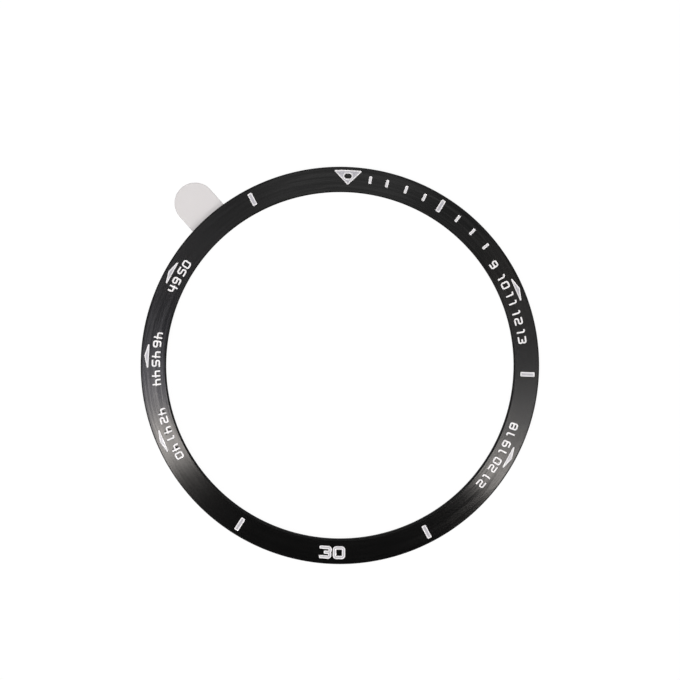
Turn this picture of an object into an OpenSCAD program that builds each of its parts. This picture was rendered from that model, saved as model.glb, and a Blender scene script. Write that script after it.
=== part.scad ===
// Stick-on bezel ring for a round sports watch with five side buttons.
// It is a thin metal ring, whose face slopes down to its rim and is engraved with a minute track.
// White enamel fills the engraving.
// A double-sided tape lies on its back, and a release liner with a pull tab covers the tape.
// The origin is on the ring's axis, at the back face of the metal, where it is glued down.
// +Z points out of the engraved face and +Y to the zero triangle.
// Minutes and angles run clockwise from +Y, as on a dial.

/* [Ring] */
// Diameter of the opening that goes round the watch's lens
opening_d = 40.6; // [38:0.1:44]
// Width of the ring from its opening to its rim
ring_w = 2.95; // [2.8:0.05:4]
// Thickness of the metal at the opening
ring_t = 1.2; // [0.9:0.05:2]
// Angle at which the face slopes down to the rim
face_slope = 6; // [0:1:9]
// Bevel between the face and the rim
rim_bevel = 0.15; // [0.05:0.01:0.3]
// Bevel between the face and the opening
opening_bevel = 0.1; // [0.05:0.01:0.3]

/* [Engraving] */
// Depth of the engraved pockets
engraving_depth = 0.12; // [0.06:0.01:0.3]
// How far the top of the enamel lies below the face
enamel_drop = 0.02; // [0.01:0.005:0.04]
// Radius that the engraving cutter leaves in every corner
cutter_r = 0.1; // [0.04:0.01:0.14]

/* [Zero triangle] */
// Gap from the rim to the triangle's curved side
triangle_gap = 0.36; // [0.3:0.02:0.5]
// Width of the triangle along its curved side
triangle_w = 3.12; // [2.6:0.02:3.6]
// Height from the curved side to the point
triangle_h = 1.69; // [1.5:0.01:2]
// Width of the oval pip of metal left inside
pip_w = 0.84; // [0.6:0.02:0.9]
// Height of the pip
pip_h = 0.57; // [0.3:0.01:0.6]
// Distance from the curved side to the pip's centre
pip_in = 0.71; // [0.6:0.01:0.8]

/* [Ticks and bars] */
// Gap from the rim to the short ticks
tick_gap = 0.82; // [0.4:0.01:1]
// Length of a short tick
tick_l = 0.91; // [0.5:0.01:1.4]
// Width of a short tick
tick_w = 0.34; // [0.3:0.01:0.6]
// Where the first tick stands, a little past its minute, clockwise from the zero triangle
first_tick_angle = 6.8; // [6:0.1:7]
// Gap from the rim to the bar at five minutes
first_bar_gap = 0.44; // [0.3:0.02:0.6]
// Where the bar at five minutes stands, a little short of its minute
first_bar_angle = 29.6; // [29:0.1:30]
// Gap from the rim to the other bars
bar_gap = 0.52; // [0.3:0.02:0.6]
// Length of the bars at five and fifty-five minutes
short_bar_l = 1.54; // [1:0.02:1.8]
// Length of the other bars
long_bar_l = 1.68; // [1:0.02:1.9]
// Width of a bar
bar_w = 0.54; // [0.4:0.01:1]

/* [Button arrows] */
// Gap from the rim to the arrow's point
arrow_gap = 0.42; // [0.3:0.02:0.6]
// Width of an arrow from tip to tip
arrow_w = 2.76; // [1.5:0.02:3.4]
// Height of an arrow from its base to its point
arrow_h = 0.54; // [0.4:0.02:1]
// Angle of the upper and lower buttons above and below the middle of their side
button_spread = 26; // [18:1:34]
// How far the three left arrows stand clockwise of a level line across the dial
left_lift = 0.8; // [0:0.1:2]

/* [Tape] */
// How far the tape stays back from both edges of the ring
tape_inset = 0.2; // [0.05:0.05:0.6]
// Thickness of each of the two layers of glue
glue_t = 0.05; // [0.02:0.01:0.2]
// Thickness of the film that carries the glue
carrier_t = 0.05; // [0.02:0.01:0.2]

/* [Release liner] */
// How far the liner stays back from both edges of the ring
liner_inset = 0.1; // [0:0.05:0.4]
// Thickness of the liner's film
liner_t = 0.1; // [0.06:0.01:0.14]
// Width of the pull tab
tab_w = 4.8; // [3:0.1:8]
// How far the tab's round end stands out past the rim
tab_reach = 4.56; // [3.5:0.02:9]
// Where the tab points, clockwise from the zero triangle
tab_angle = 316; // [300:1:340]
// Distance from the rim to the line on which the tab folds
fold_out = 0.35; // [0.2:0.01:0.6]
// Length of film left out of the solids at the fold, so that the tab can turn
fold_gap = 0.12; // [0.08:0.01:0.14]

/* [Hidden] */
$fn = 96;
DEGREES_PER_MINUTE = 6;
TICK_ANGLES = [
    first_tick_angle,
    for (minute = [2, 3, 4, 6, 7, 8]) minute * DEGREES_PER_MINUTE
];
// Each bar as [angle, gap to the rim, length]
BARS = [
    [first_bar_angle, first_bar_gap, short_bar_l],
    [15 * DEGREES_PER_MINUTE, bar_gap, long_bar_l],
    [25 * DEGREES_PER_MINUTE, bar_gap, long_bar_l],
    [35 * DEGREES_PER_MINUTE, bar_gap, long_bar_l],
    [55 * DEGREES_PER_MINUTE, bar_gap, short_bar_l]
];
// The middle of each side, and the arrows clockwise from the upper right
RIGHT_MIDDLE = 15 * DEGREES_PER_MINUTE;
LEFT_MIDDLE = 45 * DEGREES_PER_MINUTE + left_lift;
ARROW_ANGLES = [
    RIGHT_MIDDLE - button_spread,
    RIGHT_MIDDLE + button_spread,
    LEFT_MIDDLE - button_spread,
    LEFT_MIDDLE,
    LEFT_MIDDLE + button_spread
];

opening_r = opening_d / 2;
rim_r = opening_r + ring_w;
upper_glue_z = -glue_t;
carrier_z = upper_glue_z - carrier_t;
lower_glue_z = carrier_z - glue_t;
liner_z = lower_glue_z - liner_t;
liner_mid_r = opening_r + ring_w / 2;
fold_r = rim_r + fold_out;
tab_end_r = tab_w / 2;
tab_end_y = rim_r + tab_reach - tab_end_r;
// How far the pockets are cut past the face, and a cutting shape past the curve that trims it
cut_over = 0.5;
trim_over = 1.01;

// Turns its children clockwise, away from +Y
module at_angle(angle) {
    rotate([0, 0, -angle]) children();
}

// Height of the sloping face at radius r
function face_z(r) = ring_t - (r - opening_r) * tan(face_slope);

// The two ends of the straight edge that touches two circles of radius r on their outer side
function edge_points(from, to, r) =
    let (
        along = (to - from) / norm(to - from),
        outward = [along.y, -along.x]
    )
    [from + r * outward, to + r * outward];

// Convex outline with round corners of radius r about the given centres, listed anticlockwise
module round_cornered(centres, r) {
    polygon([
        for (i = [0 : len(centres) - 1])
            each edge_points(centres[i], centres[(i + 1) % len(centres)], r)
    ]);
    for (centre = centres) translate(centre) circle(r);
}

// Upright bar whose outer end lies at gap from the rim
module bar_outline(gap, length, width) {
    side = width / 2 - cutter_r;
    top = rim_r - gap - cutter_r;
    bottom = rim_r - gap - length + cutter_r;
    round_cornered([[-side, bottom], [side, bottom], [side, top], [-side, top]], cutter_r);
}

// Flat triangle that points out at a button
module arrow_outline() {
    side = arrow_w / 2 - cutter_r;
    point = rim_r - arrow_gap - cutter_r;
    base = rim_r - arrow_gap - arrow_h + cutter_r;
    round_cornered([[-side, base], [side, base], [0, point]], cutter_r);
}

// Oval with round ends that lies across the triangle
module pip_outline() {
    end_x = (pip_w - pip_h) / 2;
    translate([-end_x, -pip_h / 2]) square([2 * end_x, pip_h]);
    for (x = [-end_x, end_x]) translate([x, 0]) circle(d = pip_h);
}

// Triangle that points at the opening, with a side that follows the rim and a bare pip
module triangle_outline() {
    side_r = rim_r - triangle_gap;
    corner_x = triangle_w / 2 - cutter_r;
    corner_y = sqrt(pow(side_r - cutter_r, 2) - pow(corner_x, 2));
    corner = [corner_x, corner_y];
    mirrored = [-corner_x, corner_y];
    point = [0, side_r - triangle_h + cutter_r];
    touch = corner * side_r / (side_r - cutter_r);
    difference() {
        union() {
            intersection() {
                circle(side_r);
                polygon(concat(
                    edge_points(mirrored, point, cutter_r),
                    edge_points(point, corner, cutter_r),
                    [touch * trim_over, [-touch.x, touch.y] * trim_over]
                ));
            }
            for (centre = [corner, mirrored, point]) translate(centre) circle(cutter_r);
        }
        translate([0, side_r - pip_in]) pip_outline();
    }
}

// A tick and a bar at their places, by their place in their lists
module placed_tick(i) {
    at_angle(TICK_ANGLES[i]) bar_outline(tick_gap, tick_l, tick_w);
}

module placed_bar(i) {
    at_angle(BARS[i][0]) bar_outline(BARS[i][1], BARS[i][2], bar_w);
}

// All the outlines in their places on the face
module engraving_outlines() {
    triangle_outline();
    for (i = [0 : len(TICK_ANGLES) - 1]) placed_tick(i);
    for (i = [0 : len(BARS) - 1]) placed_bar(i);
    for (angle = ARROW_ANGLES) at_angle(angle) arrow_outline();
}

// The outlines given as children, from bottom to top, both measured up from the sloping face
module along_face(bottom, top) {
    intersection() {
        rotate_extrude()
        polygon([
            [opening_r, face_z(opening_r) + bottom],
            [rim_r, face_z(rim_r) + bottom],
            [rim_r, face_z(rim_r) + top],
            [opening_r, face_z(opening_r) + top]
        ]);
        linear_extrude(ring_t + cut_over) children();
    }
}

// Metal ring with a bevel on both edges of its face and a pocket for each mark
module bezel_ring() {
    color("#262627")
    difference() {
        rotate_extrude()
        polygon([
            [opening_r, 0],
            [rim_r, 0],
            [rim_r, face_z(rim_r) - rim_bevel],
            [rim_r - rim_bevel, face_z(rim_r - rim_bevel)],
            [opening_r + opening_bevel, face_z(opening_r + opening_bevel)],
            [opening_r, ring_t - opening_bevel]
        ]);
        along_face(-engraving_depth, cut_over) engraving_outlines();
    }
}

// Enamel that fills the pocket of the outline given as a child
module enamel() {
    color("#d4d4d8")
    along_face(-engraving_depth, -enamel_drop)
    children();
}

module zero_triangle() {
    enamel() triangle_outline();
}

// The enamel of a tick, a bar and an arrow, by their place in their lists
module tick(i) {
    enamel() placed_tick(i);
}

module bar(i) {
    enamel() placed_bar(i);
}

module arrow(i) {
    enamel() at_angle(ARROW_ANGLES[i]) arrow_outline();
}

// Flat ring that stays back by inset from both edges of the metal ring
module flat_ring(inset, z, thickness) {
    translate([0, 0, z])
    linear_extrude(thickness)
    difference() {
        circle(rim_r - inset);
        circle(opening_r + inset);
    }
}

module upper_glue() {
    color("#c9c6bb") flat_ring(tape_inset, upper_glue_z, glue_t);
}

module carrier_film() {
    color("#a9adb0") flat_ring(tape_inset, carrier_z, carrier_t);
}

module lower_glue() {
    color("#c9c6bb") flat_ring(tape_inset, lower_glue_z, glue_t);
}

// Film over the tape, with the root of the tab as far as the fold
module release_liner() {
    color("#dedbd9")
    union() {
        flat_ring(liner_inset, liner_z, liner_t);
        at_angle(tab_angle)
        translate([-tab_w / 2, liner_mid_r, liner_z])
        cube([tab_w, fold_r - liner_mid_r, liner_t]);
    }
}

// The tab outside the fold, with its round end
module pull_tab() {
    color("#dedbd9")
    at_angle(tab_angle)
    translate([0, 0, liner_z])
    linear_extrude(liner_t)
    intersection() {
        translate([-tab_w / 2, fold_r + fold_gap]) square([tab_w, tab_reach]);
        union() {
            translate([-tab_w / 2, 0]) square([tab_w, tab_end_y]);
            translate([0, tab_end_y]) circle(tab_end_r);
        }
    }
}

bezel_ring();
zero_triangle();
tick(0);  // tick_01
tick(1);  // tick_02
tick(2);  // tick_03
tick(3);  // tick_04
tick(4);  // tick_06
tick(5);  // tick_07
tick(6);  // tick_08
bar(0);  // bar_05
bar(1);  // bar_15
bar(2);  // bar_25
bar(3);  // bar_35
bar(4);  // bar_55
arrow(0);  // arrow_upper_right
arrow(1);  // arrow_lower_right
arrow(2);  // arrow_lower_left
arrow(3);  // arrow_left
arrow(4);  // arrow_upper_left
upper_glue();
carrier_film();
lower_glue();
release_liner();
pull_tab();
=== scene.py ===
import logging
import math
from collections.abc import Iterable, Sequence
from dataclasses import dataclass, field
from enum import Enum

import bmesh
import bpy
import numpy as np
from mathutils import Matrix, Vector
from mathutils.geometry import delaunay_2d_cdt


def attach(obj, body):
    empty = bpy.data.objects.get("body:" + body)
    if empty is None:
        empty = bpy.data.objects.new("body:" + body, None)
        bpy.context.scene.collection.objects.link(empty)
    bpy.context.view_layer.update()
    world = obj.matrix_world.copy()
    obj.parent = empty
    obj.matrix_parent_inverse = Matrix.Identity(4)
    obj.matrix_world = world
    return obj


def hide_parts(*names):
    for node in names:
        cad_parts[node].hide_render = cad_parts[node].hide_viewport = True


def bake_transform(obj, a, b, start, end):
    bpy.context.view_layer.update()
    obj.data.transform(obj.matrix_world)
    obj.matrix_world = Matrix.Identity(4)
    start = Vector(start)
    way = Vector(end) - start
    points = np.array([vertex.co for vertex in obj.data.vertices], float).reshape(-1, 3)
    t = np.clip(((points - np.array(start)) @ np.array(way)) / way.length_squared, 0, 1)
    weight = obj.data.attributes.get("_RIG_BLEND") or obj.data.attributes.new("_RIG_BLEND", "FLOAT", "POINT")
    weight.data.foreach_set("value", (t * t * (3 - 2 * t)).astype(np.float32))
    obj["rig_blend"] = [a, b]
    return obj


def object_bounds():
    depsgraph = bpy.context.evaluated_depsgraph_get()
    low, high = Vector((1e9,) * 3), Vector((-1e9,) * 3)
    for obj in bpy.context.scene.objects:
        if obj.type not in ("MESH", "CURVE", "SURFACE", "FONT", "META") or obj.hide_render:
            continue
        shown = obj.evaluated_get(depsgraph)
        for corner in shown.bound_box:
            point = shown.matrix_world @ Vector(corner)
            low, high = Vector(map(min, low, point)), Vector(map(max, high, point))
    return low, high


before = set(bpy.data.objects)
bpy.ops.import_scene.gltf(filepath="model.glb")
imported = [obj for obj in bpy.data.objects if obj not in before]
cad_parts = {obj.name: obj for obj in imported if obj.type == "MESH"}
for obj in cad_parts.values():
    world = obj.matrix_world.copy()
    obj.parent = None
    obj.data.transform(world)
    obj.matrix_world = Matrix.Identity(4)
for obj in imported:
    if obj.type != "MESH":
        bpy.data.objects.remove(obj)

CAD_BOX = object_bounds()

Points = np.ndarray
Loop = np.ndarray
Faces = list[tuple[int, ...]]
Colour = tuple[float, float, float]
Object = bpy.types.Object
Material = bpy.types.Material
Socket = bpy.types.NodeSocket

MM = 0.001
DEGREES_PER_MINUTE = 6
NODE_SPACING = 180
ROUND_STEPS = 8
LARGEST_SIDE_SHARE = 0.48
LOOP_SLACK = 0.0006
SHORTEST_LOOP = 8
MERGE_DISTANCE = 1e-7
TINY = 1e-9
FLOOR_GAP = 0.00001
log = logging.getLogger("bezel")


class Body(Enum):
    """Bodies of the frame that pieces ride on."""

    LINER = "liner"
    BEZEL = "bezel"
    TAB = "tab"


class Slot(Enum):
    """Names of the material slots."""

    METAL = "black_metal"
    ENAMEL = "white_enamel"
    GLUE = "glue"
    TAPE = "tape_film"
    LINER = "liner_film"


class Facing(Enum):
    """Which way the tops of the figures point on the ring."""

    OUTWARD = 1
    INWARD = -1


def circle(radius: float, count: int) -> Points:
    """Points round a circle, clockwise from twelve o'clock."""
    a = np.arange(count) * 2 * math.pi / count
    return np.column_stack([np.sin(a), np.cos(a)]) * radius


def turned(points: Points, angle: float) -> Points:
    """Turns points clockwise about the ring's axis.

    Args:
        points: Rows of x and y.
        angle: Angle in degrees.

    Returns:
        The rows, turned.
    """
    a = math.radians(angle)
    x, y = points[:, 0], points[:, 1]
    return np.column_stack([x * math.cos(a) + y * math.sin(a), y * math.cos(a) - x * math.sin(a)])


def polygon_distance(points: Points, loop: Loop) -> Points:
    """Measures how far points lie from a closed polygon.

    Args:
        points: Rows of x and y.
        loop: The polygon's corners in order.

    Returns:
        One distance a point, negative inside the polygon.
    """
    start, end = loop, np.roll(loop, -1, axis=0)
    side = end - start
    reach = points[:, None] - start
    share = np.clip((reach * side).sum(-1) / (side**2).sum(-1), 0, 1)
    nearest = np.sqrt(((reach - share[..., None] * side) ** 2).sum(-1)).min(1)
    y = points[:, 1, None]
    level = np.where(side[:, 1] == 0, 1, side[:, 1])
    crossing = start[:, 0] + (y - start[:, 1]) * side[:, 0] / level
    crossed = ((start[:, 1] > y) != (end[:, 1] > y)) & (points[:, 0, None] < crossing)
    return np.where(crossed.sum(1) % 2 == 1, -nearest, nearest)


def filleted(path: Points, radius: float, closed: bool) -> Points:
    """Rounds the corners of a path.

    Args:
        path: Corners of the path in order.
        radius: Radius of each round, made smaller where a side is too short for it.
        closed: Whether the last corner joins the first.

    Returns:
        Points along the rounded path.
    """
    count = len(path)
    out: list[Points] = []
    for i, corner in enumerate(path):
        if not closed and i in (0, count - 1):
            out.append(corner)
            continue
        back, ahead = path[i - 1] - corner, path[(i + 1) % count] - corner
        room = min(np.linalg.norm(back), np.linalg.norm(ahead)) * LARGEST_SIDE_SHARE
        back, ahead = back / np.linalg.norm(back), ahead / np.linalg.norm(ahead)
        half = math.acos(float(np.clip(back @ ahead, -1, 1))) / 2
        cut = min(radius / math.tan(half), room)
        middle = corner + (back + ahead) / np.linalg.norm(back + ahead) * cut / math.cos(half)
        arm = corner + back * cut - middle
        sweep = math.pi - 2 * half
        sign = 1 if back[0] * ahead[1] - back[1] * ahead[0] < 0 else -1
        for k in range(ROUND_STEPS + 1):
            a = sign * sweep * k / ROUND_STEPS
            c, s = math.cos(a), math.sin(a)
            out.append(middle + np.array([c * arm[0] - s * arm[1], s * arm[0] + c * arm[1]]))
    return np.array(out)


@dataclass(frozen=True)
class Patch:
    """A polygon swollen by the radius that the cutter leaves in its corners."""

    core: Loop
    cutter: float

    def distance(self, points: Points) -> Points:
        """Distance of points from the swollen edge, negative inside."""
        return polygon_distance(points, self.core) - self.cutter


@dataclass(frozen=True)
class Stroke:
    """One stroke of a figure, with flat ends or closed on itself."""

    path: Points
    width: float
    bend: float
    cutter: float
    closed: bool = False

    def distance(self, points: Points) -> Points:
        """Measures how far points lie from the stroke's edge.

        Args:
            points: Rows of x and y.

        Returns:
            One distance a point, negative inside the stroke.
        """
        line = filleted(self.path, self.bend, self.closed)
        if self.closed:
            return np.abs(polygon_distance(points, line)) - self.width / 2
        half = self.width / 2 - self.cutter
        along = np.gradient(line, axis=0)
        along /= np.linalg.norm(along, axis=1, keepdims=True)
        line[0] += along[0] * self.cutter
        line[-1] -= along[-1] * self.cutter
        side = np.column_stack([-along[:, 1], along[:, 0]]) * half
        core = np.vstack([line + side, (line - side)[::-1]])
        return polygon_distance(points, core) - self.cutter


@dataclass(frozen=True)
class Pip:
    """An oval spot of metal left standing in a mark, with round ends."""

    x: float
    y: float
    width: float
    height: float

    def distance(self, points: Points) -> Points:
        """Distance of points from the spot's edge, negative inside."""
        past_ends = np.maximum(np.abs(points[:, 0] - self.x) - (self.width - self.height) / 2, 0)
        return np.hypot(past_ends, points[:, 1] - self.y) - self.height / 2


@dataclass(frozen=True)
class Mark:
    """One engraved shape: joined parts less its pips, drawn at zero between low and high, and then turned."""

    parts: tuple[Patch | Stroke, ...]
    low: Points
    high: Points
    angle: float
    depth: float
    pips: tuple[Pip, ...] = ()

    def upright_distance(self, points: Points) -> Points:
        """Measures how far points lie from the mark's edge where it stands at zero.

        Args:
            points: Rows of x and y.

        Returns:
            One distance a point, negative inside the mark.
        """
        reach = np.min([part.distance(points) for part in self.parts], axis=0)
        for pip in self.pips:
            reach = np.maximum(reach, -pip.distance(points))
        return reach

    def distance(self, points: Points) -> Points:
        """Distance of points on the ring from the mark's edge, negative inside."""
        return self.upright_distance(turned(points, -self.angle))

    def near(self, points: Points, margin: float) -> Points:
        """Tells which points on the ring lie in the mark or close to it.

        Args:
            points: Rows of x and y.
            margin: How close is close, in millimetres.

        Returns:
            True or false for each point.
        """
        upright = turned(points, -self.angle)
        boxed = (upright > self.low - margin) & (upright < self.high + margin)
        close = np.flatnonzero(boxed.all(axis=1))
        found = np.zeros(len(points), bool)
        if len(close):
            found[close] = self.upright_distance(upright[close]) < margin
        return found

    def field(self, step: float = 0.019, margin: float = 0.06) -> tuple[Points, Points, Points]:
        """Samples the distance on a grid over the mark.

        Args:
            step: Spacing of the grid in millimetres.
            margin: How far the grid reaches past the mark.

        Returns:
            The grid's x values, its y values, and the distances as rows of y.
        """
        x, y = (np.arange(self.low[k] - margin, self.high[k] + margin + step, step) for k in (0, 1))
        grid = np.array(np.meshgrid(x, y)).reshape(2, -1).T
        return x, y, self.upright_distance(grid).reshape(len(y), len(x))


def thinned(loop: Loop, slack: float) -> Loop:
    """Leaves out the points of a closed loop that lie on a straight line through their neighbours.

    Args:
        loop: The loop's points in order.
        slack: How far off the line a point may lie and still be left out.

    Returns:
        The points that are kept.
    """
    kept, anchor, count = [0], 0, len(loop)
    for ahead in range(2, count + 1):
        a, b = loop[anchor], loop[ahead % count]
        line = b - a
        length = max(float(np.linalg.norm(line)), TINY)
        between = loop[anchor + 1 : ahead] - a
        off = np.abs(between[:, 0] * line[1] - between[:, 1] * line[0]) / length
        if off.max() > slack:
            anchor = ahead - 1
            kept.append(anchor)
    return loop[kept]


def contours(sampled: tuple[Points, Points, Points], level: float) -> list[Loop]:
    """Finds the closed lines at one distance, by marching over the squares of a sampled grid.

    Args:
        sampled: The grid's x values, y values and distances.
        level: The distance to follow.

    Returns:
        The loops, thinned to the points that they need.
    """
    x, y, field_at = sampled
    height = field_at - level
    inside = height < 0
    mixed = inside[:-1, :-1].astype(int) + inside[1:, :-1] + inside[:-1, 1:] + inside[1:, 1:]
    places: dict[tuple[int, int, int], Points] = {}
    joined: dict[tuple[int, int, int], list[tuple[int, int, int]]] = {}

    def crossing(j: int, i: int, upward: int) -> tuple[int, int, int]:
        """Finds where the line crosses one edge of the grid.

        Args:
            j: Row of the grid point that the edge leaves.
            i: Its column.
            upward: 1 if the edge leaves it upward, 0 if rightward.

        Returns:
            The key of the crossing in places.
        """
        key = (j, i, upward)
        if key not in places:
            a, b = height[j, i], height[j + upward, i + 1 - upward]
            share = a / (a - b)
            right, up = (0, share * (y[1] - y[0])) if upward else (share * (x[1] - x[0]), 0)
            places[key] = np.array([x[i] + right, y[j] + up])
        return key

    for j, i in zip(*np.nonzero((mixed > 0) & (mixed < 4))):
        corners = [inside[j, i], inside[j, i + 1], inside[j + 1, i + 1], inside[j + 1, i]]
        edges = [(j, i, 0), (j, i + 1, 1), (j + 1, i, 0), (j, i, 1)]
        cut = [crossing(*edges[k]) for k in range(4) if corners[k] != corners[(k + 1) % 4]]
        if len(cut) == 4 and height[j : j + 2, i : i + 2].mean() < 0 == corners[0]:
            cut = cut[1:] + cut[:1]
        for a, b in zip(cut[::2], cut[1::2]):
            joined.setdefault(a, []).append(b)
            joined.setdefault(b, []).append(a)
    loops = []
    left = dict.fromkeys(joined)
    while left:
        key = next(iter(left))
        chain = [key]
        del left[key]
        while ahead := [k for k in joined[chain[-1]] if k in left]:
            chain.append(ahead[0])
            del left[ahead[0]]
        if len(chain) > SHORTEST_LOOP:
            loops.append(thinned(np.array([places[k] for k in chain]), LOOP_SLACK))
    return loops


@dataclass
class Sheet:
    """Points and closed lines that are made into one net of triangles, each point with a label."""

    points: list[Points] = field(default_factory=list)
    labels: list[Points] = field(default_factory=list)
    lines: list[tuple[int, int]] = field(default_factory=list)
    count: int = 0

    def add(self, points: Points, label: float, closed: bool) -> range:
        """Adds points.

        Args:
            points: Rows of x and y.
            label: The label that they all get.
            closed: Whether they are joined into a closed line.

        Returns:
            Their numbers.
        """
        numbers = range(self.count, self.count + len(points))
        self.points.append(points)
        self.labels.append(np.full(len(points), label))
        if closed:
            self.lines += [(a, numbers[(k + 1) % len(points)]) for k, a in enumerate(numbers)]
        self.count += len(points)
        return numbers

    def triangles(self, rims: Iterable[range]) -> tuple[Points, Points, Points, list[Points]]:
        """Makes the net.

        Args:
            rims: The numbers of the points in each line that is asked for.

        Returns:
            Points, their labels, triangles as rows of three numbers, and the new numbers of each such line.
        """
        points, labels = np.vstack(self.points), np.concatenate(self.labels)
        places, _, faces, origins, _, _ = delaunay_2d_cdt(
            [Vector(p) for p in points], self.lines, [], 0, MERGE_DISTANCE, True
        )
        numbers = {old: new for new, olds in enumerate(origins) for old in olds}
        kept = np.array([labels[olds[0]] if olds else np.nan for olds in origins])
        edges = [np.array([numbers[k] for k in rim]) for rim in rims]
        return np.array([tuple(p) for p in places]), kept, np.array(faces), edges


def uncovered(faces: Points, hole: Iterable[int]) -> Points:
    """Leaves out the triangles that cover a hole, whose corners are all among the hole's points."""
    return faces[~np.isin(faces, list(hole)).all(axis=1)]


def band(a: Sequence[int], b: Sequence[int]) -> Faces:
    """Joins two closed rows of points of one length with a row of faces."""
    return [tuple(map(int, face)) for face in zip(a, b, np.roll(b, -1), np.roll(a, -1))]


def slab(net: Points, edges: Iterable[Points], count: int) -> Faces:
    """Makes the faces of a slab with one net for its top and its floor.

    Args:
        net: Triangles of the top.
        edges: Numbers of the points along each of its edges.
        count: Number of points in the top, after which those of the floor follow.

    Returns:
        The faces of the top, the floor and the walls.
    """
    faces = [tuple(f) for f in [*net.tolist(), *(net[:, ::-1] + count).tolist()]]
    for edge in edges:
        faces += band(edge, edge + count)
    return faces


def linked(name: str, data: bpy.types.ID) -> Object:
    """Makes an object and links it to the scene.

    Args:
        name: Name of the object.
        data: Its mesh, lamp or camera.

    Returns:
        The object.
    """
    made = bpy.data.objects.new(name, data)
    bpy.context.scene.collection.objects.link(made)
    return made


def new_piece(name: str, points: Points, faces: Faces, crease: float = 35) -> Object:
    """Makes a mesh piece.

    Args:
        name: Name of the piece.
        points: Rows of x, y and z in millimetres.
        faces: Corners of each face.
        crease: Edges sharper than this many degrees stay sharp.

    Returns:
        The piece, in metres and linked to the scene.
    """
    mesh = bpy.data.meshes.new(name)
    mesh.from_pydata((points * MM).tolist(), [], faces)
    mesh.shade_smooth()
    mesh.set_sharp_from_angle(angle=math.radians(crease))
    mesh.validate()
    return linked(name, mesh)


def recalculate(piece: Object) -> None:
    """Turns every face of a closed piece outward.

    Args:
        piece: The piece.
    """
    net = bmesh.new()
    net.from_mesh(piece.data)
    bmesh.ops.recalc_face_normals(net, faces=net.faces)
    net.to_mesh(piece.data)
    net.free()


def store(piece: Object, name: str, values: Points) -> None:
    """Stores one number a point on the piece's mesh, for its material to read."""
    attribute = piece.data.attributes.new(name, "FLOAT", "POINT")
    attribute.data.foreach_set("value", values.astype(np.float32))


def dress(piece: Object, material: Material) -> None:
    """Gives a piece its one material.

    Args:
        piece: The piece.
        material: The material.
    """
    piece.data.materials.clear()
    piece.data.materials.append(material)


class Graph:
    """Adds nodes to one node tree."""

    def __init__(self, tree: bpy.types.NodeTree) -> None:
        """Starts with the tree's nodes taken away."""
        self.tree = tree
        tree.nodes.clear()

    def node(
        self, kind: str, inputs: dict[str | int, object] | None = None, **settings: object
    ) -> bpy.types.Node:
        """Adds a node.

        Args:
            kind: The node's type name.
            inputs: A value, or an output socket to link, for each input by name or number.
            **settings: Values of the node's own properties.

        Returns:
            The new node.
        """
        made = self.tree.nodes.new(kind)
        made.location.x = NODE_SPACING * len(self.tree.nodes)
        for name, value in settings.items():
            setattr(made, name, value)
        for name, value in (inputs or {}).items():
            if isinstance(value, Socket):
                self.tree.links.new(value, made.inputs[name])
            else:
                made.inputs[name].default_value = value
        return made

    def math(self, operation: str, *values: float | Socket) -> Socket:
        """Adds a math node and returns its output."""
        return self.node("ShaderNodeMath", dict(enumerate(values)), operation=operation).outputs[0]

    def times(self, a: float | Socket, b: float | Socket) -> Socket:
        """Adds a node that multiplies two values and returns its output."""
        return self.math("MULTIPLY", a, b)

    def blended(self, a: Socket, a_share: float, b: Socket, b_share: float) -> Socket:
        """Adds nodes that add up shares of two values and returns the last one's output."""
        return self.math("ADD", self.times(a, a_share), self.times(b, b_share))

    def vector(self, operation: str, inputs: dict[str | int, object]) -> bpy.types.NodeOutputs:
        """Adds a vector math node and returns its outputs."""
        return self.node("ShaderNodeVectorMath", inputs, operation=operation).outputs

    def mix(self, share: float | Socket, a: Colour | Socket, b: Colour | Socket) -> Socket:
        """Adds a node that mixes two colours and returns its output."""
        first, second = (colour if isinstance(colour, Socket) else (*colour, 1) for colour in (a, b))
        return self.node("ShaderNodeMix", {0: share, 6: first, 7: second}, data_type="RGBA").outputs[2]

    def spread(self, value: Socket, low: float, high: float) -> Socket:
        """Adds a node that maps 0 to 1 onto low to high and returns its output."""
        made = self.node("ShaderNodeMapRange", {"Value": value, "To Min": low, "To Max": high})
        return made.outputs["Result"]

    def stretched(self, value: Socket, low: float, high: float) -> Socket:
        """Adds a node that maps low to high onto 0 to 1 and returns its output."""
        made = self.node("ShaderNodeMapRange", {"Value": value, "From Min": low, "From Max": high})
        return made.outputs["Result"]

    def noise(self, where: Socket, scale: float | Socket, detail: float, roughness: float = 0.5) -> Socket:
        """Adds a noise texture and returns its output."""
        values = {"Vector": where, "Scale": scale, "Detail": detail, "Roughness": roughness}
        return self.node("ShaderNodeTexNoise", values).outputs["Fac"]

    def stored(self, name: str) -> Socket:
        """Adds a node that reads the numbers stored on the mesh by name and returns its output."""
        return self.node("ShaderNodeAttribute", attribute_name=name).outputs["Fac"]


def new_group(
    name: str, values: dict[str, float], outputs: Sequence[str]
) -> tuple[Graph, bpy.types.NodeOutputs]:
    """Starts a shader node group that reads a place in metres and some values.

    Args:
        name: The group's name.
        values: Default of each value.
        outputs: Names of the masks and values that the group puts out.

    Returns:
        A graph of the group's tree, and the sockets that hold its inputs.
    """
    tree = bpy.data.node_groups.new(name, "ShaderNodeTree")
    tree.interface.new_socket("Place", in_out="INPUT", socket_type="NodeSocketVector")
    for label, value in values.items():
        socket = tree.interface.new_socket(label, in_out="INPUT", socket_type="NodeSocketFloat")
        socket.default_value = value
    for label in outputs:
        tree.interface.new_socket(label, in_out="OUTPUT", socket_type="NodeSocketFloat")
    graph = Graph(tree)
    return graph, graph.node("NodeGroupInput").outputs


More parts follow.
